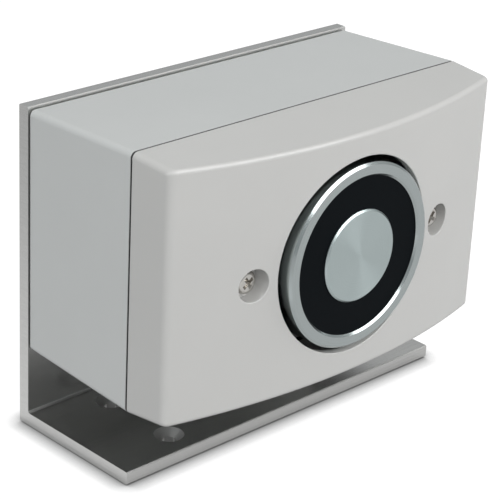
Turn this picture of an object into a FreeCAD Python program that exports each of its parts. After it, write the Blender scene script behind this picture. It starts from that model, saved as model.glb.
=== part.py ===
import FreeCAD, Part
import math
import os
import re
import Sketcher
from FreeCAD import Placement, Rotation, Vector

# Electromagnetic door holder: a pot magnet in a moulded box on an aluminium angle that stands on the floor.
# Millimetres. X runs across the width, -Y is the front, where the magnet's face is, and +Z is up. The origin
# is the middle of the foot's underside. Depths are measured forward from the bracket's back face.

SIZES = {
    # bracket, a cut length of aluminium angle
    "bracket_width": 128.0,
    "bracket_height": 100.5,
    "foot_depth": 49.2,
    "bracket_sheet": 4.0,
    "bracket_inner_radius": 0.8,
    "bracket_edge": 0.3,
    # countersunk holes for floor screws, in the foot
    "floor_hole_span": 80.0,
    "floor_hole_pitch": 26.5,
    "floor_hole_setback": 13.5,
    "floor_hole_bore": 4.8,
    "floor_countersink": 9.2,
    # back box, a drafted moulding
    "box_width": 130.0,
    "box_height": 78.0,
    "box_depth": 44.9,
    "box_side_draft": 1.2,
    "box_top_draft": 1.6,
    "box_centre": 62.3,
    "box_wall": 2.5,
    "box_corner": 1.8,
    "box_rear_round": 0.4,
    "rear_gap": 0.5,
    "rear_pad": 13.0,
    # seam between box and cover
    "seam_gap": 0.5,
    "lip_inset": 1.2,
    "lip_height": 1.6,
    "lip_clearance": 0.15,
    "seam_round": 0.25,
    # front cover, a bowed moulding
    "cover_side_draft": 0.8,
    "cover_top_draft": 1.15,
    "cover_edge_depth": 14.4,
    "cover_bow": 9.5,
    "cover_wall": 2.6,
    "cover_edge_round": 1.3,
    "cover_side_round": 2.8,
    "opening_gap": 1.8,
    "opening_round": 0.25,
    # cover screws, their wells and the pillars that take them
    "screw_offset": 8.0,
    "well_bore": 9.8,
    "well_depth": 4.8,
    "well_wall": 2.0,
    "screw_shank": 3.4,
    "screw_length": 25.0,
    "screw_head": 7.0,
    "screw_head_height": 2.4,
    "screw_head_round": 1.3,
    "screw_clearance": 0.5,
    "pillar": 10.0,
    "pillar_gap": 0.3,
    "insert_diameter": 6.0,
    "insert_length": 8.0,
    "insert_clearance": 0.1,
    "tip_room": 3.0,
    # cross recess of the screws
    "cross_reach": 2.0,
    "cross_width": 0.6,
    "cross_depth": 1.7,
    "cross_taper": 0.55,
    "cross_turn": 35.0,
    # pot magnet
    "magnet_proud": 1.0,
    "pot_diameter": 56.0,
    "pot_wall": 4.0,
    "pot_depth": 30.0,
    "pot_floor": 6.0,
    "pot_outer_chamfer": 0.7,
    "pot_inner_chamfer": 0.6,
    "core_diameter": 28.0,
    "core_chamfer": 0.5,
    "core_thread_depth": 14.0,
    "resin_setback": 0.8,
    "resin_thickness": 3.2,
    "bobbin_clearance": 0.15,
    "bobbin_wall": 1.0,
    "bobbin_flange": 1.2,
    "winding_setback": 0.9,
    # magnet carrier, a folded steel bridge
    "carrier_sheet": 2.5,
    "carrier_margin": 3.5,
    "carrier_room": 8.9,
    "carrier_foot": 14.0,
    "carrier_bend": 1.2,
    "carrier_foot_height": 14.0,
    "carrier_hole_offset": 8.0,
    "carrier_hole_inset": 8.0,
    "carrier_hole_bore": 4.5,
    "carrier_screw_shank": 3.9,
    "carrier_head": 8.0,
    "carrier_head_height": 2.5,
    "carrier_head_round": 1.5,
    "carrier_tap": 4.0,
    "carrier_tip_setback": 0.4,
    "carrier_washer": 9.0,
    "carrier_washer_sheet": 0.8,
    # bolt from the carrier into the core
    "bolt_shank": 6.0,
    "bolt_clearance": 0.5,
    "bolt_length": 22.0,
    "bolt_flats": 10.0,
    "bolt_head_height": 4.0,
    "bolt_washer": 12.0,
    "bolt_washer_sheet": 1.6,
    # coil leads and their bush in the pot's floor
    "bush_diameter": 6.0,
    "bush_flange": 9.0,
    "bush_flange_sheet": 1.2,
    "bush_clearance": 0.1,
    "lead_diameter": 1.3,
    "lead_bore": 1.5,
    "lead_pitch": 2.6,
    "lead_bend": 4.0,
    "lead_rise": 3.0,
    "lead_rise_step": 2.8,
    "lead_run": 8.2,
    "lead_run_step": 3.0,
    # terminal block on its plinth
    "block_side_room": 0.15,
    "block_width": 10.2,
    "block_length": 22.0,
    "block_thickness": 12.0,
    "block_lug_length": 7.0,
    "block_lug_thickness": 4.0,
    "plinth_height": 3.0,
    "pole_pitch": 5.0,
    "clamp_side": 3.6,
    "clamp_inset": 1.0,
    "clamp_clearance": 0.1,
    "clamp_bore": 2.5,
    "clamp_screw": 2.0,
    "clamp_screw_head": 2.8,
    "clamp_screw_height": 1.6,
    "clamp_screw_pitch": 6.0,
    "driver_slot": 0.6,
    "driver_slot_depth": 0.7,
    "lead_entry": 4.0,
    "block_screw": 2.2,
    "block_screw_head": 4.4,
    "block_screw_height": 1.8,
    "block_screw_bite": 4.0,
    "block_bore_clearance": 0.2,
    # suppressor diode across the coil terminals
    "diode_diameter": 2.4,
    "diode_length": 3.6,
    "diode_wire": 0.7,
    "diode_rise": 5.0,
    "diode_bend": 1.0,
    # rubber grommet in the box's underside
    "grommet_bore": 6.5,
    "grommet_neck": 12.0,
    "grommet_flange": 16.0,
    "grommet_flange_sheet": 2.0,
    "grommet_clearance": 0.1,
    "grommet_side_room": 16.65,
    "grommet_depth": 26.0,
    # how far a cutting tool runs past the face that it opens
    "overcut": 1.0,
}

# Depths and heights that several pieces share, as formulas of the sizes above.
BOX_REAR = "(bracket_sheet + rear_gap)"
BOX_FLOOR = f"({BOX_REAR} + box_wall)"
PARTING = f"({BOX_REAR} + box_depth)"
BOX_REAR_WIDTH = "(box_width - 2 * box_side_draft)"
BOX_REAR_HEIGHT = "(box_height - 2 * box_top_draft)"
BOX_INSIDE = f"({BOX_REAR_WIDTH} / 2 - box_wall)"
CROWN = f"({PARTING} + cover_edge_depth + cover_bow)"
BOW_RADIUS = "(((box_width / 2 - cover_side_draft) ^ 2 + cover_bow ^ 2) / (2 * cover_bow))"
OPENING = "(pot_diameter + 2 * opening_gap)"
SCREW_X = f"({OPENING} / 2 + screw_offset)"
MAGNET_FACE = f"({CROWN} + magnet_proud)"
POT_REAR = f"({MAGNET_FACE} - pot_depth)"
POT_INSIDE = f"({POT_REAR} + pot_floor)"
POT_BORE = "(pot_diameter - 2 * pot_wall)"
RESIN_FRONT = f"({MAGNET_FACE} - resin_setback)"
RESIN_REAR = f"({RESIN_FRONT} - resin_thickness)"
CARRIER_REAR = f"({POT_REAR} - carrier_sheet)"
CARRIER_FOOT_FRONT = f"({BOX_FLOOR} + carrier_sheet)"
CARRIER_HEAD_SEAT = f"({CARRIER_FOOT_FRONT} + carrier_washer_sheet)"
CARRIER_SIDE = "(pot_diameter / 2 + carrier_margin)"
CARRIER_HEIGHT = f"({BOX_REAR_HEIGHT} - 2 * box_wall - 2 * carrier_room)"
CARRIER_HOLE_X = f"({CARRIER_SIDE} + carrier_hole_offset)"
CARRIER_HOLE_RISE = f"({CARRIER_HEIGHT} / 2 - carrier_hole_inset)"
SCREW_SURFACE = f"({CROWN} - {BOW_RADIUS} + sqrt({BOW_RADIUS} ^ 2 - {SCREW_X} ^ 2))"
SCREW_SEAT = f"({SCREW_SURFACE} - well_depth)"
PILLAR_TOP = f"({PARTING} - pillar_gap)"
BUSH_HEIGHT = f"(box_centre + (core_diameter + {POT_BORE}) / 4)"
BUSH_REAR = f"({CARRIER_REAR} - bush_flange_sheet)"
PLINTH_TOP = f"({BOX_FLOOR} + plinth_height)"
BLOCK_FRONT = f"({PLINTH_TOP} + block_thickness)"
BLOCK_X = f"({BOX_INSIDE} - block_side_room - block_width / 2)"
CLAMP_DEPTH = f"({PLINTH_TOP} + block_thickness / 2)"
LEAD_DEPTH = f"({CLAMP_DEPTH} - clamp_bore / 2 + lead_diameter / 2)"
DIODE_DEPTH = f"({LEAD_DEPTH} + lead_diameter / 2 + diode_wire)"
BLOCK_TOP = "(box_centre + block_length / 2)"
LUG_MIDDLE = "(box_centre - block_length / 2 + block_lug_length / 2)"
CLAMP_LENGTH = "(block_length - block_lug_length - 2 * clamp_inset)"
CLAMP_MIDDLE = f"({BLOCK_TOP} - clamp_inset - {CLAMP_LENGTH} / 2)"
GROMMET_X = f"({BOX_REAR_WIDTH} / 2 - grommet_side_room)"

# Two lengths count as alike within this, and a sketch's corners start on a circle of this radius.
NEAR = 1e-4
ROUGH = 10.0

AXIS_X, AXIS_Y, AXIS_Z = Vector(1, 0, 0), Vector(0, 1, 0), Vector(0, 0, 1)

doc = FreeCAD.newDocument("DoorHolder")
sheet = doc.addObject("Spreadsheet::Sheet", "Sizes")
for row, (alias, size) in enumerate(SIZES.items(), start=1):
    sheet.set(f"A{row}", alias)
    sheet.set(f"B{row}", str(size))
    sheet.setAlias(f"B{row}", alias)
doc.recompute()


def value(alias):
    """Return one size as the sheet holds it."""
    return float(sheet.get(alias))


def number(formula):
    """Work out a formula of the sizes."""
    named = re.sub(r"[a-z_]+", lambda word: str(value(word[0])) if word[0] in SIZES else word[0], formula)
    return FreeCAD.Units.Quantity(named).Value


def tie(item, prop, formula):
    """Bind a property to a formula of the sheet's sizes."""
    named = re.sub(r"[a-z_]+", lambda word: f"Sizes.{word[0]}" if word[0] in SIZES else word[0], formula)
    item.setExpression(prop, named)


def place(item, x="0", depth=None, z="0"):
    """Bind an object's place: x, the depth forward from the bracket's back (or none) and the height z."""
    tie(item, "Placement.Base.x", x)
    if depth is not None:
        tie(item, "Placement.Base.y", f"foot_depth / 2 - ({depth})")
    tie(item, "Placement.Base.z", z)


def origin_plane(body, role):
    return next(item for item in body.Origin.OriginFeatures if item.Role == role)


def outline(body, name, role, corners, offset="0"):
    """Add a closed sketch with straight sides, each corner bound to formulas (across, up)."""
    sketch = body.newObject("Sketcher::SketchObject", name)
    sketch.AttachmentSupport = [(origin_plane(body, role), "")]
    sketch.MapMode = "FlatFace"
    tie(sketch, "AttachmentOffset.Base.z", offset)
    count = len(corners)
    turn = 2 * math.pi / count
    rough = [Vector(ROUGH * math.cos(turn * n), ROUGH * math.sin(turn * n), 0) for n in range(count)]
    for n in range(count):
        sketch.addGeometry(Part.LineSegment(rough[n], rough[(n + 1) % count]), False)
    for n in range(count):
        sketch.addConstraint(Sketcher.Constraint("Coincident", n, 2, (n + 1) % count, 1))
    for n, (across, up) in enumerate(corners):
        for kind, axis, formula in (("DistanceX", -2, across), ("DistanceY", -1, up)):
            if formula == "0":
                sketch.addConstraint(Sketcher.Constraint("PointOnObject", n, 1, axis))
                continue
            index = sketch.addConstraint(Sketcher.Constraint(kind, -1, 1, n, 1, ROUGH))
            tie(sketch, f"Constraints[{index}]", formula)
    return sketch


def rectangle(width, height, middle="0"):
    """Corners of a rectangle about the vertical axis, with its middle at a height."""
    left, right = f"-({width}) / 2", f"({width}) / 2"
    low, high = f"({middle}) - ({height}) / 2", f"({middle}) + ({height}) / 2"
    return [(left, low), (right, low), (right, high), (left, high)]


def new_body(label):
    body = doc.addObject("PartDesign::Body", label)
    body.Label = label
    return body


def turned(label, corners, upright=False):
    """Turn an outline of (radius, position) corners about the depth axis, or about the vertical axis."""
    body = new_body(label)
    if upright:
        sketch = outline(body, f"{label}_outline", "XZ_Plane", corners)
    else:
        seen = [(radius, f"foot_depth / 2 - ({depth})") for radius, depth in corners]
        sketch = outline(body, f"{label}_outline", "XY_Plane", seen)
    turn = body.newObject("PartDesign::Revolution", f"{label}_turn")
    turn.Profile = sketch
    turn.ReferenceAxis = (sketch, ["V_Axis"])
    turn.Angle = 360
    doc.recompute()
    return body


def drafted_block(label, rear, front, depths, corner=None):
    """Loft a block between two rectangles (width, height) at two depths, and round its long edges."""
    body = new_body(label)
    sketches = []
    for name, (width, height), depth in zip(("rear", "front"), (rear, front), depths):
        corners = rectangle(width, height, "box_centre")
        sketches.append(outline(body, f"{label}_{name}", "XZ_Plane", corners, f"{depth} - foot_depth / 2"))
    loft = body.newObject("PartDesign::AdditiveLoft", f"{label}_loft")
    loft.Profile = sketches[0]
    loft.Sections = [sketches[1]]
    loft.Ruled = True
    doc.recompute()
    if corner:
        long_edges = edges_where(loft, lambda edge: runs_along(edge, AXIS_Y))
        round_edges(body, f"{label}_corners", loft, long_edges, corner)
    return body


def along(edge):
    """Unit direction from an edge's first point to its last."""
    step = edge.valueAt(edge.LastParameter) - edge.valueAt(edge.FirstParameter)
    return step.normalize() if step.Length else step


def runs_along(edge, axis):
    """Tell whether an edge heads more along an axis than across it."""
    heading = along(edge)
    return abs(heading.dot(axis)) > heading.cross(axis).Length


def edges_where(item, test):
    return [f"Edge{n}" for n, edge in enumerate(item.Shape.Edges, start=1) if test(edge)]


def round_edges(body, name, base, edges, radius):
    fillet = body.newObject("PartDesign::Fillet", name)
    fillet.Base = (base, edges)
    tie(fillet, "Radius", radius)
    doc.recompute()
    return fillet


def softened(label, base, rounds):
    """Round the edges of a finished solid, each group of edge names with its own size."""
    item = doc.addObject("Part::Fillet", label)
    item.Base = base
    item.Edges = [(int(name.removeprefix("Edge")), value(size), value(size)) for names, size in rounds
                  for name in names]
    item.Label = label
    return item


def outer_rim(item, depth):
    """The edges round the outside of the widest flat face at a depth."""
    y = value("foot_depth") / 2 - number(depth)
    flats = [face for face in item.Shape.Faces if all(abs(vertex.Y - y) < NEAR for vertex in face.Vertexes)]
    outside = max(flats, key=lambda face: face.BoundBox.XLength).OuterWire.Edges
    return edges_where(item, lambda edge: any(edge.isSame(other) for other in outside))


def rod(label, diameter, rear, front, x="0", z="box_centre"):
    """A cylinder along the depth axis, from a rear depth to a front depth."""
    item = doc.addObject("Part::Cylinder", label)
    tie(item, "Radius", f"({diameter}) / 2")
    tie(item, "Height", f"({front}) - ({rear})")
    item.Placement = Placement(Vector(), Rotation(Vector(1, 0, 0), 90))
    place(item, x, rear, z)
    return item


def brick(label, width, depth_range, height, x="0", z="box_centre"):
    """A box about (x, z), from a rear depth to a front depth."""
    rear, front = depth_range
    item = doc.addObject("Part::Box", label)
    tie(item, "Length", width)
    tie(item, "Width", f"({front}) - ({rear})")
    tie(item, "Height", height)
    place(item, f"({x}) - ({width}) / 2", front, f"({z}) - ({height}) / 2")
    return item


def fused(label, items):
    item = doc.addObject("Part::MultiFuse", label)
    item.Shapes = items
    return item


def without(label, base, tools):
    """Cut one tool, or several joined tools, out of a base."""
    item = doc.addObject("Part::Cut", label)
    item.Base = base
    item.Tool = tools[0] if len(tools) == 1 else fused(f"{label}_tools", tools)
    item.Label = label
    return item


def common(label, first, second):
    item = doc.addObject("Part::Common", label)
    item.Base = first
    item.Tool = second
    return item


def mirrored(source, normal, middle="0"):
    """A mirror image across a plane square to X, Y or Z at a given position."""
    item = doc.addObject("Part::Mirroring", f"{source.Name}_mirrored")
    item.Source = source
    axis = "xyz"[[abs(part) for part in normal].index(1)]
    item.Normal = Vector(*normal)
    tie(item, f"Base.{axis}", middle)
    return item


def group(label, items):
    item = doc.addObject("Part::Compound", label)
    item.Links = items
    item.Label = label
    return item


def cross_recess(body, top):
    """Sink a tapering cross into a screw's head, from the depth of its top towards its shank."""
    sketches = []
    for name, depth, scale in (("top", top, "1"), ("floor", f"{top} - cross_depth", "cross_taper")):
        reach, half = f"cross_reach * {scale}", f"cross_width * {scale}"
        corners = []
        for a, b in ((1, 1), (-1, 1), (-1, -1), (1, -1)):
            arm = (f"{a} * {reach}", f"{b} * {half}")
            post = (f"{a} * {half}", f"{b} * {reach}")
            inner = (f"{a} * {half}", f"{b} * {half}")
            corners += [arm, inner, post] if a * b > 0 else [post, inner, arm]
        sketches.append(outline(body, f"{body.Name}_cross_{name}", "XZ_Plane", corners,
                                f"{depth} - foot_depth / 2"))
    recess = body.newObject("PartDesign::SubtractiveLoft", f"{body.Name}_cross")
    recess.Profile = sketches[0]
    recess.Sections = [sketches[1]]
    recess.Ruled = True
    doc.recompute()


def pan_screw(label, seat, tip, shank, head, height, rounding):
    """A pan-head screw on its own axis, with its head's underside at the seat and its cross turned."""
    top = f"{seat} + {height}"
    corners = [("0", tip), (f"{shank} / 2", tip), (f"{shank} / 2", seat), (f"{head} / 2", seat),
               (f"{head} / 2", top), ("0", top)]
    body = turned(label, corners)
    turn = body.Tip
    foremost = min(edge.CenterOfMass.y for edge in turn.Shape.Edges)
    rim = edges_where(turn, lambda edge: abs(edge.CenterOfMass.y - foremost) < NEAR)
    round_edges(body, f"{label}_dome", turn, rim, rounding)
    cross_recess(body, top)
    body.Placement = Placement(Vector(), Rotation(AXIS_Y, value("cross_turn")))
    return body


def carrier_rods(label, diameter, rear, front):
    """Four parallel rods, at the places where the carrier's feet are screwed down."""
    rods = []
    for across in (-1, 1):
        for up in (-1, 1):
            rods.append(rod(label, diameter, rear, front, f"{across} * {CARRIER_HOLE_X}",
                            f"box_centre + {up} * {CARRIER_HOLE_RISE}"))
    return rods


def screw_rods(label, diameter, rear, front):
    """A rod on the axis of each cover screw."""
    return [rod(label, diameter, rear, front, f"{across} * {SCREW_X}") for across in (-1, 1)]


def make_bracket():
    """Aluminium angle: upright plate and foot, countersunk floor holes, tapped holes for the box."""
    body = new_body("bracket_angle")
    back, front = "foot_depth / 2", "-foot_depth / 2"
    plate_front = "foot_depth / 2 - bracket_sheet"
    corners = [(back, "0"), (back, "bracket_height"), (plate_front, "bracket_height"),
               (plate_front, "bracket_sheet"), (front, "bracket_sheet"), (front, "0")]
    section = outline(body, "bracket_section", "YZ_Plane", corners, "-bracket_width / 2")
    length = body.newObject("PartDesign::Pad", "bracket_length")
    length.Profile = section
    tie(length, "Length", "bracket_width")
    doc.recompute()
    inside = Vector(0, value("foot_depth") / 2 - value("bracket_sheet"), value("bracket_sheet"))
    root = edges_where(length, lambda edge: edge.CenterOfMass.distanceToPoint(inside) < NEAR)
    blend = round_edges(body, "bracket_root", length, root, "bracket_inner_radius")
    blend_reach = 2 * value("bracket_inner_radius")
    outer = edges_where(blend, lambda edge: runs_along(edge, AXIS_X)
                        and edge.CenterOfMass.distanceToPoint(inside) > blend_reach)
    eased = body.newObject("PartDesign::Chamfer", "bracket_eased")
    eased.Base = (blend, outer)
    tie(eased, "Size", "bracket_edge")
    doc.recompute()

    holes = carrier_rods("bracket_tap", "carrier_tap", "-overcut", "bracket_sheet + overcut")
    sink = "(floor_countersink - floor_hole_bore) / 2"
    for across in (-1, 1):
        for step in (0, 1):
            x, depth = f"{across} * floor_hole_span / 2", f"floor_hole_setback + {step} * floor_hole_pitch"
            hole = doc.addObject("Part::Cylinder", "floor_hole")
            tie(hole, "Radius", "floor_hole_bore / 2")
            tie(hole, "Height", "bracket_sheet + 2 * overcut")
            place(hole, x, depth, "-overcut")
            cone = doc.addObject("Part::Cone", "floor_sink")
            tie(cone, "Radius1", "floor_hole_bore / 2")
            tie(cone, "Radius2", "floor_countersink / 2 + overcut")
            tie(cone, "Height", f"{sink} + overcut")
            place(cone, x, depth, f"bracket_sheet - {sink}")
            holes += [hole, cone]
    return without("mounting_bracket", body, holes)


def make_back_box():
    """Open-fronted drafted moulding: rear pads, locating lip, pillars, plinth, screw and cable holes."""
    depths = (BOX_REAR, PARTING)
    shell = drafted_block("box_outside", (BOX_REAR_WIDTH, BOX_REAR_HEIGHT), ("box_width", "box_height"),
                          depths, "box_corner")
    rear_y = value("foot_depth") / 2 - value("bracket_sheet") - value("rear_gap")
    rim = edges_where(shell.Tip, lambda edge: all(abs(vertex.Y - rear_y) < NEAR for vertex in edge.Vertexes))
    round_edges(shell, "box_rear_rim", shell.Tip, rim, "box_rear_round")

    inner_rear = (f"{BOX_REAR_WIDTH} - 2 * box_wall", f"{BOX_REAR_HEIGHT} - 2 * box_wall")
    inner_front = ("box_width - 2 * box_wall", "box_height - 2 * box_wall")
    cavity = drafted_block("box_cavity", inner_rear, inner_front, (BOX_FLOOR, f"{PARTING} + overcut"),
                           "box_corner / 2")
    walls = without("box_walls", shell, [cavity])

    lip_outer = ("box_width - 2 * lip_inset", "box_height - 2 * lip_inset")
    groove_rear = f"({PARTING} - seam_gap)"
    lip_block = drafted_block("lip_block", lip_outer, lip_outer, (groove_rear, f"{PARTING} + lip_height"),
                              "box_corner - lip_inset")
    lip_room = drafted_block("lip_room", inner_front, inner_front,
                             (f"{groove_rear} - overcut", f"{PARTING} + lip_height + overcut"),
                             "box_corner / 2")
    lip = without("lip", lip_block, [lip_room])
    slab = brick("groove_slab", "2 * box_width", (groove_rear, f"{PARTING} + lip_height"), "2 * box_height")
    cut_walls = without("box_cut_walls", walls, [slab])

    pads = carrier_rods("rear_pad_rod", "rear_pad", "bracket_sheet", f"{BOX_REAR} + overcut")
    pillars = screw_rods("box_pillar", "pillar", f"{BOX_FLOOR} - overcut", PILLAR_TOP)
    plinth = brick("block_plinth", "block_width", (f"{BOX_FLOOR} - overcut", PLINTH_TOP), "block_length",
                   BLOCK_X)
    solid = fused("box_solid", [cut_walls, lip, plinth] + pads + pillars)

    past_pillar = f"{PILLAR_TOP} + overcut"
    holes = carrier_rods("box_fixing_hole", "carrier_hole_bore", "bracket_sheet - overcut",
                         f"{BOX_FLOOR} + overcut")
    holes += screw_rods("insert_hole", "insert_diameter + insert_clearance",
                        f"{PILLAR_TOP} - insert_length", past_pillar)
    holes += screw_rods("tip_hole", "screw_shank + screw_clearance",
                        f"{SCREW_SEAT} - screw_length - tip_room", past_pillar)
    holes.append(rod("plinth_hole", "block_screw + block_bore_clearance", f"{PLINTH_TOP} - block_screw_bite",
                     f"{PLINTH_TOP} + overcut", BLOCK_X, LUG_MIDDLE))
    entry = doc.addObject("Part::Cylinder", "cable_hole")
    tie(entry, "Radius", "grommet_neck / 2 + grommet_clearance")
    tie(entry, "Height", "box_wall + box_top_draft + 2 * overcut")
    place(entry, GROMMET_X, "grommet_depth", "box_centre - box_height / 2 - overcut")
    holes.append(entry)
    moulding = without("box_moulding", solid, holes)
    doc.recompute()
    return softened("back_box", moulding, [(outer_rim(moulding, groove_rear), "seam_round")])


def cover_block(label, inset, depth_start, corner=None):
    """The cover's drafted block, at an inset from its outside, cut to the bow of its front."""
    reach = "(cover_edge_depth + 2 * cover_bow)"
    tip_width = f"box_width - 2 * cover_side_draft * {reach} / cover_edge_depth"
    tip_height = f"box_height - 2 * cover_top_draft * {reach} / cover_edge_depth"
    block = drafted_block(f"{label}_block", (f"box_width - 2 * {inset}", f"box_height - 2 * {inset}"),
                          (f"{tip_width} - 2 * {inset}", f"{tip_height} - 2 * {inset}"),
                          (depth_start, f"{PARTING} + {reach}"), corner)
    bow = doc.addObject("Part::Cylinder", f"{label}_bow")
    tie(bow, "Radius", f"{BOW_RADIUS} - {inset}")
    tie(bow, "Height", "2 * box_height")
    place(bow, "0", f"{CROWN} - {BOW_RADIUS}", "box_centre - box_height")
    return common(label, block, bow)


def rounded_cover(block):
    """Round the long corners like the box's, the front's upright edges softly, its top and bottom finely."""
    doc.recompute()
    parting_y = max(vertex.Y for vertex in block.Shape.Vertexes)
    rounds = []
    for axis, size in ((AXIS_Y, "box_corner"), (AXIS_Z, "cover_side_round"), (AXIS_X, "cover_edge_round")):
        chosen = edges_where(block, lambda edge: runs_along(edge, axis)
                             and edge.CenterOfMass.y < parting_y - value("overcut"))
        rounds.append((chosen, size))
    return softened(f"{block.Name}_rounded", block, rounds)


def hole_rims(cover):
    """The edges where the opening and the wells break through the bowed front."""
    axis_y = value("foot_depth") / 2 - number(f"{CROWN} - {BOW_RADIUS}")
    bow, centre = number(BOW_RADIUS), value("box_centre")
    screw_x, well, opening = number(SCREW_X), value("well_bore") / 2, number(OPENING) / 2

    def test(edge):
        point = edge.valueAt((edge.FirstParameter + edge.LastParameter) / 2)
        on_bow = abs(math.hypot(point.x, point.y - axis_y) - bow) < NEAR
        on_hole = any(abs(math.hypot(point.x - x, point.z - centre) - radius) < NEAR
                      for x, radius in ((0, opening), (screw_x, well), (-screw_x, well)))
        return on_bow and on_hole

    return edges_where(cover, test)


def make_front_cover():
    """Bowed shell with a rebated rim, screw wells and the magnet's opening."""
    outside = rounded_cover(cover_block("cover_outside", "0", PARTING))
    inside = cover_block("cover_inside", "cover_wall", f"{PARTING} - overcut", "box_corner / 2")
    posts = screw_rods("well_post", "well_bore + 2 * well_wall", PARTING, CROWN)
    inner_posts = common("cover_inner_posts", fused("cover_posts", posts), outside)
    solid = fused("cover_solid", [without("cover_shell", outside, [inside]), inner_posts])

    rebate_size = ("box_width - 2 * lip_inset + 2 * lip_clearance",
                   "box_height - 2 * lip_inset + 2 * lip_clearance")
    rebate = drafted_block("cover_rebate", rebate_size, rebate_size,
                           (f"{PARTING} - overcut", f"{PARTING} + lip_height"),
                           "box_corner - lip_inset + lip_clearance")
    kept = screw_rods("rebate_keep", "well_bore + 2 * well_wall", PARTING, f"{PARTING} + lip_height")
    past_front = f"{CROWN} + overcut"
    holes = [without("cover_rebate_ring", rebate, kept)]
    holes.append(rod("cover_opening", OPENING, f"{PARTING} - overcut", past_front))
    holes += screw_rods("screw_well", "well_bore", SCREW_SEAT, past_front)
    holes += screw_rods("screw_hole", "screw_shank + screw_clearance", f"{PARTING} - overcut", past_front)
    moulding = without("cover_moulding", solid, holes)
    doc.recompute()
    return softened("front_cover", moulding, [(outer_rim(moulding, PARTING), "seam_round"),
                                              (hole_rims(moulding), "opening_round")])


def make_cover_screws():
    screw = pan_screw("cover_screw", SCREW_SEAT, f"{SCREW_SEAT} - screw_length", "screw_shank", "screw_head",
                      "screw_head_height", "screw_head_round")
    place(screw, SCREW_X, None, "box_centre")
    return group("cover_screws", [screw, mirrored(screw, (1, 0, 0))])


def make_cover_screw_inserts():
    bore = "(screw_shank + insert_clearance) / 2"
    rear = f"{PILLAR_TOP} - insert_length"
    outside = "insert_diameter / 2"
    insert = turned("insert", [(bore, rear), (outside, rear), (outside, PILLAR_TOP), (bore, PILLAR_TOP)])
    place(insert, SCREW_X, None, "box_centre")
    return group("cover_screw_inserts", [insert, mirrored(insert, (1, 0, 0))])


def make_magnet():
    """Pot, core, bobbin, winding and resin of the electromagnet, all turned about one axis."""
    bore, outside = f"{POT_BORE} / 2", "pot_diameter / 2"
    bolt_bore = "(bolt_shank + bolt_clearance) / 2"
    pot = turned("pot_body", [
        (bolt_bore, POT_REAR), (f"{outside} - pot_outer_chamfer", POT_REAR),
        (outside, f"{POT_REAR} + pot_outer_chamfer"), (outside, f"{MAGNET_FACE} - pot_outer_chamfer"),
        (f"{outside} - pot_outer_chamfer", MAGNET_FACE), (f"{bore} + pot_inner_chamfer", MAGNET_FACE),
        (bore, f"{MAGNET_FACE} - pot_inner_chamfer"), (bore, POT_INSIDE), (bolt_bore, POT_INSIDE)])
    place(pot, "0", None, "box_centre")
    lead_hole = rod("pot_lead_hole", "bush_diameter + bush_clearance", f"{POT_REAR} - overcut",
                    f"{POT_INSIDE} + overcut", "0", BUSH_HEIGHT)
    pot = without("magnet_pot", pot, [lead_hole])

    thread = "(bolt_shank + bobbin_clearance) / 2"
    radius = "core_diameter / 2"
    core = turned("pole_core", [
        (thread, POT_INSIDE), (radius, POT_INSIDE), (radius, f"{MAGNET_FACE} - core_chamfer"),
        (f"{radius} - core_chamfer", MAGNET_FACE), ("0", MAGNET_FACE),
        ("0", f"{POT_INSIDE} + core_thread_depth"), (thread, f"{POT_INSIDE} + core_thread_depth")])

    tube, rim = "core_diameter / 2 + bobbin_clearance", f"{bore} - bobbin_clearance"
    floor, ledge = f"{POT_INSIDE} + bobbin_flange", f"{RESIN_REAR} - bobbin_flange"
    bobbin = turned("coil_bobbin", [
        (tube, POT_INSIDE), (rim, POT_INSIDE), (rim, floor), (f"{tube} + bobbin_wall", floor),
        (f"{tube} + bobbin_wall", ledge), (rim, ledge), (rim, RESIN_REAR), (tube, RESIN_REAR)])
    winding = turned("coil_winding", [
        (f"{tube} + bobbin_wall", floor), (f"{rim} - winding_setback", floor),
        (f"{rim} - winding_setback", ledge), (f"{tube} + bobbin_wall", ledge)])
    resin = turned("coil_potting",
                   [(radius, RESIN_REAR), (bore, RESIN_REAR), (bore, RESIN_FRONT), (radius, RESIN_FRONT)])
    for piece in (core, bobbin, winding, resin):
        place(piece, "0", None, "box_centre")
    return [pot, core, bobbin, winding, resin]


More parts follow.
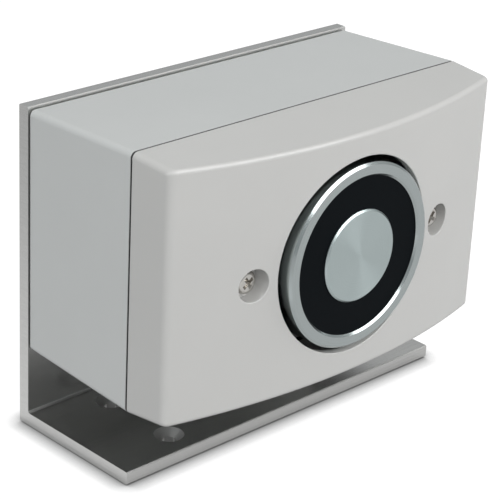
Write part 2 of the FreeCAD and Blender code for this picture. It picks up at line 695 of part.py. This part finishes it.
def make_carrier():
    """Folded steel bridge: a flat that the pot is bolted to, two legs and two notched feet."""
    body = new_body("carrier_bridge")
    half, reach = CARRIER_SIDE, f"{CARRIER_SIDE} + carrier_foot"
    ridge = [(f"-({reach})", BOX_FLOOR), (f"-{half} + carrier_sheet", BOX_FLOOR),
             (f"-{half} + carrier_sheet", CARRIER_REAR), (f"{half} - carrier_sheet", CARRIER_REAR),
             (f"{half} - carrier_sheet", BOX_FLOOR), (reach, BOX_FLOOR), (reach, CARRIER_FOOT_FRONT),
             (half, CARRIER_FOOT_FRONT), (half, POT_REAR), (f"-{half}", POT_REAR),
             (f"-{half}", CARRIER_FOOT_FRONT), (f"-({reach})", CARRIER_FOOT_FRONT)]
    seen = [(across, f"foot_depth / 2 - ({depth})") for across, depth in ridge]
    section = outline(body, "carrier_section", "XY_Plane", seen, f"box_centre - {CARRIER_HEIGHT} / 2")
    pad = body.newObject("PartDesign::Pad", "carrier_length")
    pad.Profile = section
    tie(pad, "Length", CARRIER_HEIGHT)
    doc.recompute()

    half_width, thick = number(CARRIER_SIDE), value("carrier_sheet")

    def bends(inner):
        # the four folds: their hollow side, or their outer side one sheet away
        def test(edge):
            if not runs_along(edge, AXIS_Z):
                return False
            x = abs(edge.CenterOfMass.x)
            at_face, at_back = abs(x - half_width) < NEAR, abs(x - half_width + thick) < NEAR
            front_half = edge.CenterOfMass.y < pad.Shape.BoundBox.Center.y
            hollow = at_back if front_half else at_face
            return hollow if inner else (at_face or at_back) and not hollow
        return test

    hollow = round_edges(body, "carrier_inner_bends", pad, edges_where(pad, bends(True)), "carrier_bend")
    round_edges(body, "carrier_outer_bends", hollow, edges_where(hollow, bends(False)),
                "carrier_bend + carrier_sheet")

    foot_depths = (f"{BOX_FLOOR} - overcut", f"{CARRIER_FOOT_FRONT} + overcut")
    holes = carrier_rods("carrier_hole", "carrier_hole_bore", *foot_depths)
    notch = "carrier_foot - carrier_bend + overcut"
    notch_height = f"{CARRIER_HEIGHT} - 2 * carrier_foot_height"
    for across in (-1, 1):
        holes.append(brick("carrier_foot_notch", notch, foot_depths, notch_height,
                           f"{across} * ({reach} + overcut - ({notch}) / 2)"))
    holes.append(rod("carrier_bolt_hole", "bolt_shank + bolt_clearance", f"{CARRIER_REAR} - overcut",
                     f"{POT_REAR} + overcut"))
    holes.append(rod("carrier_bush_hole", "bush_diameter + bush_clearance", f"{CARRIER_REAR} - overcut",
                     f"{POT_REAR} + overcut", "0", BUSH_HEIGHT))
    return without("magnet_carrier", body, holes)


def make_carrier_fixings():
    """Screws and washers that clamp the carrier's feet and the box to the bracket."""
    side, up = CARRIER_HOLE_X, f"box_centre + {CARRIER_HOLE_RISE}"
    screw = pan_screw("carrier_screw", CARRIER_HEAD_SEAT, "carrier_tip_setback", "carrier_screw_shank",
                      "carrier_head", "carrier_head_height", "carrier_head_round")
    bore = "carrier_hole_bore / 2"
    washer = turned("carrier_washer_disc", [
        (bore, CARRIER_FOOT_FRONT), ("carrier_washer / 2", CARRIER_FOOT_FRONT),
        ("carrier_washer / 2", CARRIER_HEAD_SEAT), (bore, CARRIER_HEAD_SEAT)])
    nodes = []
    for label, piece in (("carrier_screws", screw), ("carrier_washers", washer)):
        place(piece, side, None, up)
        across = mirrored(piece, (1, 0, 0))
        nodes.append(group(label, [piece, across, mirrored(piece, (0, 0, 1), "box_centre"),
                                   mirrored(across, (0, 0, 1), "box_centre")]))
    return nodes


def make_magnet_bolt():
    """Hexagon bolt and washer behind the carrier."""
    seat = f"{CARRIER_REAR} - bolt_washer_sheet"
    bore = "(bolt_shank + bolt_clearance) / 2"
    outside = "bolt_washer / 2"
    washer = turned("magnet_washer", [(bore, seat), (outside, seat), (outside, CARRIER_REAR),
                                      (bore, CARRIER_REAR)])
    place(washer, "0", None, "box_centre")

    blank = new_body("bolt_head_blank")
    radius = "bolt_flats / 2 / cos(30 deg)"
    corners = [(f"{radius} * cos({angle} deg)", f"box_centre + {radius} * sin({angle} deg)")
               for angle in range(15, 375, 60)]
    hexagon = outline(blank, "bolt_hexagon", "XZ_Plane", corners,
                      f"{seat} - bolt_head_height - foot_depth / 2")
    head = blank.newObject("PartDesign::Pad", "bolt_head_pad")
    head.Profile = hexagon
    tie(head, "Length", "bolt_head_height")
    shank = rod("bolt_shank_rod", "bolt_shank", f"{seat} - overcut", f"{seat} + bolt_length")
    return [fused("magnet_bolt", [blank, shank]), washer]


def make_lead_bush():
    """Insulating bush with a bore for each lead, its flange behind the carrier."""
    sleeve = turned("bush_sleeve", [
        ("0", BUSH_REAR), ("bush_flange / 2", BUSH_REAR), ("bush_flange / 2", CARRIER_REAR),
        ("bush_diameter / 2", CARRIER_REAR), ("bush_diameter / 2", POT_INSIDE), ("0", POT_INSIDE)])
    place(sleeve, "0", None, BUSH_HEIGHT)
    bores = [rod("lead_bore_rod", "lead_bore", f"{BUSH_REAR} - overcut", f"{POT_INSIDE} + overcut",
                 f"{side} * lead_pitch / 2", BUSH_HEIGHT) for side in (-1, 1)]
    return without("lead_bush", sleeve, bores)


def bent_wire(points, diameter, bend):
    """A round wire along straight runs joined by arcs."""
    edges = []
    start = points[0]
    for before, corner, after in zip(points, points[1:], points[2:]):
        into, out = (corner - before).normalize(), (after - corner).normalize()
        turn = into.getAngle(out)
        setback = bend * math.tan(turn / 2)
        entry, leave = corner - into * setback, corner + out * setback
        inward = (out - into).normalize()
        middle = corner + inward * bend * (1 / math.cos(turn / 2) - 1)
        edges.append(Part.LineSegment(start, entry).toShape())
        edges.append(Part.Arc(entry, middle, leave).toShape())
        start = leave
    edges.append(Part.LineSegment(start, points[-1]).toShape())
    heading = (points[1] - points[0]).normalize()
    section = Part.Wire(Part.makeCircle(diameter / 2, points[0], heading))
    return Part.Wire(edges).makePipeShell([section], True, False)


def at_depth(x, depth, z):
    return Vector(x, value("foot_depth") / 2 - number(depth), number(z))


def make_leads():
    """Two insulated leads from the coil through the bush, over the carrier and down to the terminals."""
    nodes = []
    for label, side, step in (("coil_lead_positive", -1, 0), ("coil_lead_negative", 1, 1)):
        bush_x = side * value("lead_pitch") / 2
        pole_x = number(BLOCK_X) + side * value("pole_pitch") / 2
        rise = f"box_centre + {CARRIER_HEIGHT} / 2 + lead_rise + {step} * lead_rise_step"
        depth = f"{BUSH_REAR} - lead_run + {step} * lead_run_step"
        points = [at_depth(bush_x, POT_INSIDE, BUSH_HEIGHT), at_depth(bush_x, depth, BUSH_HEIGHT),
                  at_depth(bush_x, depth, rise), at_depth(pole_x, depth, rise),
                  at_depth(pole_x, LEAD_DEPTH, rise),
                  at_depth(pole_x, LEAD_DEPTH, f"{BLOCK_TOP} - lead_entry")]
        lead = doc.addObject("Part::Feature", label)
        lead.Shape = bent_wire(points, value("lead_diameter"), value("lead_bend"))
        nodes.append(lead)
    return nodes


def slotted_screw(seat, tip, shank, head, height, x, z):
    """A small screw with a slotted disc for a head."""
    top = f"{seat} + {height}"
    blank = fused("slotted_blank", [rod("slotted_shank", shank, tip, f"{seat} + {height} / 2", x, z),
                                    rod("slotted_head", head, seat, top, x, z)])
    slot = brick("driver_slot_brick", f"{head} + overcut", (f"{top} - driver_slot_depth", f"{top} + overcut"),
                 "driver_slot", x, z)
    return without("slotted_screw", blank, [slot])


def make_terminals():
    """Two-pole terminal block: moulding, brass clamps, clamp screws and the screw that holds it."""
    moulding = brick("block_moulding", "block_width", (PLINTH_TOP, BLOCK_FRONT), "block_length", BLOCK_X)
    lug_front = f"{PLINTH_TOP} + block_lug_thickness"
    room = "(clamp_side + 2 * clamp_clearance)"
    room_rear, room_front = f"{CLAMP_DEPTH} - {room} / 2", f"{CLAMP_DEPTH} + {room} / 2"
    past_front = f"{BLOCK_FRONT} + overcut"
    tools = [brick("lug_step", "block_width + 2 * overcut", (lug_front, past_front),
                   "block_lug_length + 2 * overcut", BLOCK_X, f"{LUG_MIDDLE} - overcut")]
    clamps, screws = [], []
    for side in (-1, 1):
        x = f"{BLOCK_X} + {side} * pole_pitch / 2"
        tools.append(brick("clamp_room", room, (room_rear, room_front), "block_length + 2 * overcut", x))
        bar = brick("clamp_bar", "clamp_side", (room_rear, f"{room_front} - 2 * clamp_clearance"),
                    CLAMP_LENGTH, x, CLAMP_MIDDLE)
        bore = doc.addObject("Part::Cylinder", "clamp_bore_rod")
        tie(bore, "Radius", "clamp_bore / 2")
        tie(bore, "Height", f"{CLAMP_LENGTH} + 2 * overcut")
        place(bore, x, CLAMP_DEPTH, f"{CLAMP_MIDDLE} - {CLAMP_LENGTH} / 2 - overcut")
        taps = []
        for up, tip in ((-1, CLAMP_DEPTH), (1, f"{DIODE_DEPTH} + diode_wire / 2")):
            z = f"{CLAMP_MIDDLE} + {up} * clamp_screw_pitch / 2"
            tools.append(rod("clamp_screw_room", "clamp_screw_head + 2 * clamp_clearance", CLAMP_DEPTH,
                             past_front, x, z))
            taps.append(rod("clamp_tap", "clamp_screw + clamp_clearance", CLAMP_DEPTH, past_front, x, z))
            screws.append(slotted_screw(room_front, tip, "clamp_screw", "clamp_screw_head",
                                        "clamp_screw_height", x, z))
        clamps.append(without("clamp", bar, [bore] + taps))
    tools.append(rod("block_hole", "block_screw + block_bore_clearance", f"{PLINTH_TOP} - overcut",
                     past_front, BLOCK_X, LUG_MIDDLE))
    holder = slotted_screw(lug_front, f"{PLINTH_TOP} - block_screw_bite + block_bore_clearance",
                           "block_screw", "block_screw_head", "block_screw_height", BLOCK_X, LUG_MIDDLE)
    holder.Label = "terminal_block_screw"
    return [without("terminal_block", moulding, tools), group("terminal_clamps", clamps),
            group("terminal_screws", screws), holder]


def make_diode():
    """Suppressor diode above the block, its two wires bent down into the coil terminals."""
    top, low = f"{BLOCK_TOP} + diode_rise", f"{BLOCK_TOP} - lead_entry"
    sides = [number(BLOCK_X) + side * value("pole_pitch") / 2 for side in (-1, 1)]
    points = [at_depth(sides[0], DIODE_DEPTH, low), at_depth(sides[0], DIODE_DEPTH, top),
              at_depth(sides[1], DIODE_DEPTH, top), at_depth(sides[1], DIODE_DEPTH, low)]
    wire = doc.addObject("Part::Feature", "diode_wires")
    wire.Shape = bent_wire(points, value("diode_wire"), value("diode_bend"))
    barrel = doc.addObject("Part::Cylinder", "diode_barrel")
    tie(barrel, "Radius", "diode_diameter / 2")
    tie(barrel, "Height", "diode_length")
    barrel.Placement = Placement(Vector(), Rotation(Vector(0, 1, 0), 90))
    place(barrel, f"{BLOCK_X} - diode_length / 2", DIODE_DEPTH, top)
    return fused("suppressor_diode", [wire, barrel])


def make_grommet():
    """Rubber grommet with a groove for the box's lower wall, square to that wall."""
    slope = "(box_top_draft / box_depth)"
    half = "(box_wall / 2 + grommet_clearance)"
    bore, neck, flange = "grommet_bore / 2", "grommet_neck / 2", "grommet_flange / 2"
    low, high = f"-{half} - grommet_flange_sheet", f"{half} + grommet_flange_sheet"
    corners = [(bore, low), (flange, low), (flange, f"-{half}"), (neck, f"-{half}"),
               (neck, half), (flange, half), (flange, high), (bore, high)]
    grommet = turned("cable_grommet", corners, upright=True)
    grommet.Placement = Placement(Vector(), Rotation(Vector(1, 0, 0), 1))
    tie(grommet, "Placement.Rotation.Angle", f"atan({slope})")
    wall_drop = f"{BOX_REAR_HEIGHT} / 2 + (grommet_depth - {BOX_REAR}) * {slope} - box_wall / 2"
    place(grommet, GROMMET_X, "grommet_depth", f"box_centre - ({wall_drop})")
    return grommet


nodes = [make_bracket(), make_back_box(), make_front_cover(), make_cover_screws(), make_cover_screw_inserts(),
         make_carrier(), make_lead_bush(), make_diode(), make_grommet()]
nodes += make_magnet() + make_carrier_fixings() + make_magnet_bolt() + make_leads() + make_terminals()
doc.recompute()

failed = [item.Label for item in doc.Objects if {"Invalid", "Error"} & set(item.State)]
failed += [item.Label for item in nodes if item.Shape.isNull() or not item.Shape.isValid()]
if failed:
    raise RuntimeError(f"these did not build: {failed}")

os.makedirs("parts", exist_ok=True)
for item in nodes:
    item.Shape.exportStep(f"parts/{item.Label}.step")
    print(item.Label, len(item.Shape.Solids), round(item.Shape.Volume, 1))
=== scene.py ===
import math

import bpy
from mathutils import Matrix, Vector

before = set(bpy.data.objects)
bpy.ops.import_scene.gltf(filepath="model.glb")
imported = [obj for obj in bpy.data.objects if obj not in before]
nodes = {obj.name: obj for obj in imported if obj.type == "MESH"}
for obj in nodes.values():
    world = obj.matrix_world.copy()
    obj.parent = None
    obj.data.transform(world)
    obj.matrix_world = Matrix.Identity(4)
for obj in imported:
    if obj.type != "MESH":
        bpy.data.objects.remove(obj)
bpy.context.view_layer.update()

# Lengths are metres in the part's frame
MAGNET_AXIS = Vector((0.0, 0.0, 0.0623))

# Depths where the painted shade in the seam starts and where it is full, and the tone it darkens to
BOX_SEAM = (-0.0241, -0.0243)
COVER_SEAM = (-0.02495, -0.02482)
SEAM_SHADE_TONE = 0.12

# Bounds for how squarely a surface faces an axis: turned flat faces, cut ends, and edges that are filed round
FLAT_FACE = 0.95
CUT_END = 0.9
FILED_EDGE = 0.98
FILED_TONE = 0.7
FILED_ROUGHNESS = 0.65

# The floor, what the camera and reflections see of it, and the paler card on its left
FLOOR_SIZE = 6.0
FLOOR_DROP = 0.0004
FLOOR_SEEN = 0.95
FLOOR_MIRRORED = 0.53
CONTACT_REACH = 0.006
CONTACT_DEPTH = 2.0
CARD_EDGE = -0.066
CARD_SPAN = (-0.2, -0.07)
CARD_TONES = (0.4, 0.7)

# Heights on the sky's unit sphere between which the glow grows, its two colours and its strength
GLOW_SPAN = (-0.2, 0.9)
GLOW_LOW = (0.29, 0.305, 0.312, 1)
GLOW_HIGH = (0.525, 0.53, 0.528, 1)
GLOW_STRENGTH = 1.16

CAMERA_PLACE = (-0.37789, -0.38309, 0.28478)
CAMERA_TURN_DEGREES = (66.137, -2.623, -43.846)
CAMERA_LENS_MM = 139.641
CAMERA_SENSOR_MM = 36.0


# Building blocks for procedural materials


def material(name):
    """A new node material: returns it, its node tree and its Principled shader."""
    made = bpy.data.materials.new(name)
    made.use_nodes = True
    tree = made.node_tree
    return made, tree, tree.nodes["Principled BSDF"]


def set_input(tree, socket, given):
    """Link a socket to another node's socket, or set its value."""
    if isinstance(given, bpy.types.NodeSocket):
        tree.links.new(given, socket)
    else:
        socket.default_value = given


def node(tree, kind, inputs=None, **settings):
    """Add a node, set its properties, and feed its inputs with values or with other nodes' sockets."""
    added = tree.nodes.new(kind)
    for key, setting in settings.items():
        setattr(added, key, setting)
    for key, given in (inputs or {}).items():
        set_input(tree, added.inputs[key], given)
    return added


def feed(tree, shader, **inputs):
    """Set or link a shader's inputs; underscores stand for the spaces of their names."""
    for key, given in inputs.items():
        set_input(tree, shader.inputs[key.replace("_", " ")], given)


def place(tree):
    """The point on the object."""
    return node(tree, "ShaderNodeTexCoord").outputs["Object"]


def part_of(tree, vector, axis):
    return node(tree, "ShaderNodeSeparateXYZ", {0: vector}).outputs[axis]


def stretched(tree, point, scale):
    return node(tree, "ShaderNodeMapping", {"Vector": point, "Scale": scale}).outputs["Vector"]


def noise(tree, point, scale, detail):
    made = node(tree, "ShaderNodeTexNoise", {"Vector": point, "Scale": scale, "Detail": detail,
                                             "Roughness": 0.55})
    return made.outputs["Fac"]


def line_noise(tree, position, scale, detail):
    """Noise that varies along one measure only, such as a radius."""
    made = node(tree, "ShaderNodeTexNoise", {"W": position, "Scale": scale, "Detail": detail},
                noise_dimensions="1D")
    return made.outputs["Fac"]


def spread(tree, fac, low, high, start=0.2, end=0.8):
    """Map a factor's useful range to low..high."""
    made = node(tree, "ShaderNodeMapRange", {"Value": fac, "From Min": start, "From Max": end,
                                             "To Min": low, "To Max": high})
    return made.outputs["Result"]


def math_node(tree, operation, first, second=0.0):
    return node(tree, "ShaderNodeMath", {0: first, 1: second}, operation=operation).outputs[0]


def vector_math(tree, operation, first, second):
    return node(tree, "ShaderNodeVectorMath", {0: first, 1: second}, operation=operation).outputs[0]


def facing(tree):
    """How squarely the surface faces the X, Y and Z axes, from 0 to 1."""
    normal = node(tree, "ShaderNodeNewGeometry").outputs["Normal"]
    return [math_node(tree, "ABSOLUTE", part_of(tree, normal, axis)) for axis in "XYZ"]


def shade(colour, factor):
    return tuple(channel * factor for channel in colour) + (1.0,)


def mixed(tree, fac, first, second):
    """Blend two colours by a factor."""
    made = node(tree, "ShaderNodeMix", {"Factor": fac, "A": first, "B": second}, data_type="RGBA")
    return made.outputs["Result"]


def blended(tree, fac, first, second):
    """Blend two plain values by a factor."""
    return node(tree, "ShaderNodeMix", {"Factor": fac, "A": first, "B": second}).outputs["Result"]


def toned(tree, pattern, colour, low, high):
    """A colour that a pattern shades between two factors."""
    return mixed(tree, spread(tree, pattern, 0.0, 1.0), shade(colour, low), shade(colour, high))


def uneven(tree, fine, swing, coarse, low, high):
    """A roughness that runs from low to high with a coarse pattern, and swings about that with a fine one."""
    return math_node(tree, "ADD", spread(tree, fine, -swing, swing), spread(tree, coarse, low, high))


def bump(tree, height, distance, strength=1.0):
    inputs = {"Height": height, "Distance": distance, "Strength": strength}
    return node(tree, "ShaderNodeBump", inputs).outputs["Normal"]


# Materials


def plastic(name, colour, roughness, mottle=0.02, seam=None):
    """Moulded plastic: a faint tonal mottle, a fine grain, uneven gloss, and painted shade that darkens its
    seam.
    """
    made, tree, shader = material(name)
    point = place(tree)
    cloud = noise(tree, point, 28.0, 4.0)
    speck = noise(tree, point, 800.0, 2.0)
    gloss = noise(tree, point, 60.0, 3.0)
    tone = toned(tree, cloud, colour, 1 - mottle, 1 + mottle)
    if seam is not None:
        # Painted shade: the colour darkens towards the parting line, standing in for the shadow in the seam
        dust_and_seam_shade = spread(tree, part_of(tree, point, "Y"), 0.0, 1.0, *seam)
        tone = mixed(tree, dust_and_seam_shade, tone, shade(colour, SEAM_SHADE_TONE))
    feed(tree, shader, Base_Color=tone, Roughness=spread(tree, gloss, roughness - 0.015, roughness + 0.015),
         Normal=bump(tree, speck, 0.0000015))
    return made


def rolled_metal(name, colour, roughness, along):
    """Rolled sheet with a lengthwise grain."""
    made, tree, shader = material(name)
    point = place(tree)
    grain = noise(tree, stretched(tree, point, along), 1.0, 4.0)
    cloud = noise(tree, point, 60.0, 3.0)
    feed(tree, shader, Base_Color=toned(tree, grain, colour, 0.95, 1.05), Metallic=1.0,
         Roughness=uneven(tree, grain, 0.05, cloud, roughness - 0.03, roughness + 0.03),
         Normal=bump(tree, grain, 0.000004))
    return made


def angle_metal():
    """The bracket's extruded aluminium: lengthwise grain, saw marks on its cut ends, matt filed edges."""
    made, tree, shader = material("bracket_aluminium")
    point = place(tree)
    colour = (0.64, 0.64, 0.63)
    across, deep, tall = facing(tree)
    ends = math_node(tree, "GREATER_THAN", across, CUT_END)
    squarest = math_node(tree, "MAXIMUM", across, math_node(tree, "MAXIMUM", deep, tall))
    filed = math_node(tree, "LESS_THAN", squarest, FILED_EDGE)
    drawn = noise(tree, stretched(tree, point, (30.0, 2600.0, 2600.0)), 1.0, 4.0)
    sawn = noise(tree, stretched(tree, point, (400.0, 260.0, 2400.0)), 1.0, 3.0)
    grain = blended(tree, ends, drawn, sawn)
    cloud = noise(tree, point, 45.0, 3.0)
    tone = toned(tree, grain, colour, 0.94, 1.06)
    worn = uneven(tree, grain, 0.02, cloud, 0.22, 0.27)
    feed(tree, shader, Base_Color=mixed(tree, filed, tone, shade(colour, FILED_TONE)), Metallic=1.0,
         Roughness=blended(tree, filed, worn, FILED_ROUGHNESS), Normal=bump(tree, grain, 0.0000008))
    return made


def turned_metal(name, colour, roughness, ring, groove, spin):
    """Steel turned about the magnet's axis: fine rings, which stretch its reflections on the flat faces."""
    made, tree, shader = material(name)
    point = place(tree)
    away = vector_math(tree, "SUBTRACT", point, MAGNET_AXIS)
    flat = vector_math(tree, "MULTIPLY", away, (1.0, 0.0, 1.0))
    radius = node(tree, "ShaderNodeVectorMath", {0: flat}, operation="LENGTH").outputs["Value"]
    rings = line_noise(tree, math_node(tree, "ADD", radius, part_of(tree, point, "Y")), ring, 4.0)
    smear = noise(tree, point, 120.0, 3.0)
    faced = math_node(tree, "GREATER_THAN", facing(tree)[1], FLAT_FACE)
    feed(tree, shader, Base_Color=toned(tree, rings, colour, 0.94, 1.04), Metallic=1.0,
         Roughness=uneven(tree, rings, 0.03, smear, roughness - 0.02, roughness + 0.02),
         Anisotropic=math_node(tree, "MULTIPLY", faced, spin), Anisotropic_Rotation=0.25,
         Normal=bump(tree, rings, groove, faced),
         Tangent=node(tree, "ShaderNodeTangent", direction_type="RADIAL", axis="Y").outputs["Tangent"])
    return made


def plated_metal(name, colour, roughness):
    """Plated fasteners: small scuffs and an uneven bright finish."""
    made, tree, shader = material(name)
    point = place(tree)
    scuff = noise(tree, stretched(tree, point, (900.0, 900.0, 2200.0)), 1.0, 4.0)
    cloud = noise(tree, point, 260.0, 3.0)
    feed(tree, shader, Base_Color=toned(tree, cloud, colour, 0.9, 1.05), Metallic=1.0,
         Roughness=spread(tree, scuff, roughness - 0.07, roughness + 0.07),
         Normal=bump(tree, scuff, 0.000006))
    return made


def resin():
    """Matt black casting resin with a faint orange-peel surface."""
    made, tree, shader = material("coil_resin")
    point = place(tree)
    peel = noise(tree, point, 700.0, 2.0)
    dust_and_seam_shade = noise(tree, point, 3200.0, 2.0)
    tone = mixed(tree, spread(tree, dust_and_seam_shade, 0.0, 1.0), (0.0012, 0.0022, 0.0032, 1),
                 (0.0022, 0.0036, 0.0048, 1))
    feed(tree, shader, Base_Color=tone, Roughness=spread(tree, peel, 0.42, 0.5), Specular_IOR_Level=0.05,
         Normal=bump(tree, peel, 0.000004))
    return made


def winding():
    """Enamelled copper wire, turn beside turn along the coil."""
    made, tree, shader = material("copper_wire")
    turns = node(tree, "ShaderNodeTexWave", {"Vector": place(tree), "Scale": 640.0, "Distortion": 0.2,
                                             "Detail": 1.0}, bands_direction="Y", wave_profile="SIN")
    wire = turns.outputs["Fac"]
    tone = mixed(tree, wire, (0.20, 0.055, 0.02, 1), (0.62, 0.23, 0.09, 1))
    feed(tree, shader, Base_Color=tone, Metallic=1.0, Roughness=spread(tree, wire, 0.38, 0.26, 0.0, 1.0),
         Normal=bump(tree, wire, 0.00012))
    return made


def rubber(name, colour):
    """Rubber or wire insulation: a fine grain and an uneven bloom."""
    made, tree, shader = material(name)
    point = place(tree)
    bloom = noise(tree, point, 140.0, 4.0)
    grain = noise(tree, point, 1800.0, 2.0)
    feed(tree, shader, Base_Color=toned(tree, bloom, colour, 0.8, 1.3),
         Roughness=spread(tree, bloom, 0.55, 0.72), Normal=bump(tree, grain, 0.00001))
    return made


zinc = plated_metal("zinc_plate", (0.62, 0.635, 0.65), 0.3)
nylon = plastic("natural_nylon", (0.62, 0.6, 0.54), 0.45, 0.03)
brass = plated_metal("turned_brass", (0.68, 0.5, 0.22), 0.28)
finishes = {
    "mounting_bracket": angle_metal(),
    "back_box": plastic("box_plastic", (0.568, 0.58, 0.574), 0.26, seam=BOX_SEAM),
    "front_cover": plastic("cover_plastic", (0.535, 0.532, 0.52), 0.12, seam=COVER_SEAM),
    "cover_screws": plated_metal("nickel_plate", (0.66, 0.64, 0.61), 0.22),
    "cover_screw_inserts": brass,
    "magnet_carrier": rolled_metal("zinc_sheet", (0.6, 0.61, 0.62), 0.36, along=(2600.0, 2600.0, 40.0)),
    "carrier_screws": zinc,
    "carrier_washers": zinc,
    "magnet_pot": turned_metal("pot_steel", (0.47, 0.515, 0.515), 0.21, ring=5200.0, groove=0.0000006,
                               spin=0.7),
    "pole_core": turned_metal("core_steel", (0.525, 0.60, 0.60), 0.34, ring=3600.0, groove=0.0000008,
                              spin=0.82),
    "coil_bobbin": nylon,
    "coil_winding": winding(),
    "coil_potting": resin(),
    "magnet_bolt": zinc,
    "magnet_washer": zinc,
    "lead_bush": nylon,
    "coil_lead_positive": rubber("red_insulation", (0.42, 0.02, 0.016)),
    "coil_lead_negative": rubber("black_insulation", (0.02, 0.02, 0.022)),
    "terminal_block": plastic("terminal_polyamide", (0.6, 0.58, 0.5), 0.4, 0.03),
    "terminal_clamps": brass,
    "terminal_screws": zinc,
    "terminal_block_screw": zinc,
    "suppressor_diode": plastic("diode_epoxy", (0.02, 0.02, 0.022), 0.35, 0.1),
    "cable_grommet": rubber("grommet_rubber", (0.018, 0.018, 0.019)),
}
for name, finish in finishes.items():
    mesh = nodes[name].data
    mesh.materials.clear()
    mesh.materials.append(finish)


# Surroundings: a floor that the camera sees as plain white, and soft studio lamps


def lifted(tree, surface):
    """Lift the floor to white for the camera and to pale grey for reflections, save in the contact shadow.

    Reflections find a paler card on the object's left, brightest beside the foot.
    """
    path = node(tree, "ShaderNodeLightPath")
    contact = node(tree, "ShaderNodeAmbientOcclusion", {"Distance": CONTACT_REACH}, samples=8).outputs["AO"]
    deepened = math_node(tree, "POWER", contact, CONTACT_DEPTH)
    seen_tone = math_node(tree, "MULTIPLY", deepened, FLOOR_SEEN)
    across = part_of(tree, place(tree), "X")
    card = spread(tree, across, *CARD_TONES, *CARD_SPAN)
    pale = blended(tree, math_node(tree, "LESS_THAN", across, CARD_EDGE), FLOOR_MIRRORED, card)
    mirrored_tone = math_node(tree, "MULTIPLY", pale, contact)
    seen = math_node(tree, "MULTIPLY", path.outputs["Is Camera Ray"], seen_tone)
    mirrored = math_node(tree, "MULTIPLY", path.outputs["Is Glossy Ray"], mirrored_tone)
    lift = math_node(tree, "ADD", seen, mirrored)
    white = node(tree, "ShaderNodeEmission", {"Color": (1, 1, 1, 1), "Strength": lift}).outputs[0]
    return node(tree, "ShaderNodeAddShader", {0: surface, 1: white}).outputs[0]


def floor_finish():
    """Paper with a faint fibre."""
    made, tree, shader = material("floor_paper")
    fibre = noise(tree, place(tree), 300.0, 3.0)
    tone = mixed(tree, spread(tree, fibre, 0.0, 1.0), (0.1, 0.1, 0.1, 1), (0.12, 0.12, 0.12, 1))
    feed(tree, shader, Base_Color=tone, Roughness=0.9)
    output = tree.nodes["Material Output"]
    tree.links.new(lifted(tree, shader.outputs[0]), output.inputs["Surface"])
    return made


bpy.ops.mesh.primitive_plane_add(size=FLOOR_SIZE, location=(0.0, 0.0, -FLOOR_DROP))
floor = bpy.context.object
floor.name = "floor"
floor.data.materials.append(floor_finish())

scene = bpy.context.scene
world = bpy.data.worlds.new("studio")
scene.world = world
world.use_nodes = True
sky = world.node_tree
sky.nodes.clear()
up = part_of(sky, node(sky, "ShaderNodeTexCoord").outputs["Generated"], "Z")
glow = mixed(sky, spread(sky, up, 0.0, 1.0, *GLOW_SPAN), GLOW_LOW, GLOW_HIGH)
soft = node(sky, "ShaderNodeBackground", {"Color": glow, "Strength": GLOW_STRENGTH}).outputs[0]
plain = node(sky, "ShaderNodeBackground", {"Color": (1, 1, 1, 1), "Strength": 1.0}).outputs[0]
seen = node(sky, "ShaderNodeLightPath").outputs["Is Camera Ray"]
shown = node(sky, "ShaderNodeMixShader", {0: seen, 1: soft, 2: plain}).outputs[0]
node(sky, "ShaderNodeOutputWorld", {"Surface": shown})


def softbox(name, place_from, size, power, tint=(1.0, 1.0, 1.0), shines=True, mirrored=True):
    """A rectangular soft lamp aimed at the object; it may be kept to matt surfaces or to reflections."""
    lamp = bpy.data.lights.new(name, "AREA")
    lamp.shape = "RECTANGLE"
    lamp.size, lamp.size_y = size
    lamp.energy = power
    lamp.color = tint
    holder = bpy.data.objects.new(name, lamp)
    scene.collection.objects.link(holder)
    holder.location = place_from
    holder.visible_diffuse = shines
    holder.visible_glossy = mirrored
    holder.rotation_euler = (MAGNET_AXIS - Vector(place_from)).to_track_quat("-Z", "Y").to_euler()


softbox("key", (0.05, -1.0, 0.7), (1.0, 0.5), 5.4, mirrored=False)
softbox("fill", (1.3, -0.6, 0.5), (0.8, 0.6), 6.7, mirrored=False)
softbox("front_low", (0.1, -1.1, 0.25), (0.6, 0.4), 1.7, mirrored=False)
softbox("front_left", (-0.95, -0.95, 0.45), (0.7, 0.7), 3.9, mirrored=False)
softbox("left", (-1.2, 0.1, 0.55), (0.6, 0.9), 4.6, tint=(0.97, 0.99, 1.0))
softbox("panel", (0.18, -0.685, 0.8), (1.27, 0.6), 9.0, shines=False)

# The camera, at the photograph's angle

lens = bpy.data.cameras.new("camera")
lens.sensor_width = CAMERA_SENSOR_MM
lens.lens = CAMERA_LENS_MM
lens.clip_start = 0.01
camera = bpy.data.objects.new("camera", lens)
scene.collection.objects.link(camera)
camera.location = CAMERA_PLACE
camera.rotation_euler = [math.radians(angle) for angle in CAMERA_TURN_DEGREES]
scene.camera = camera
scene.view_settings.view_transform = "Standard"
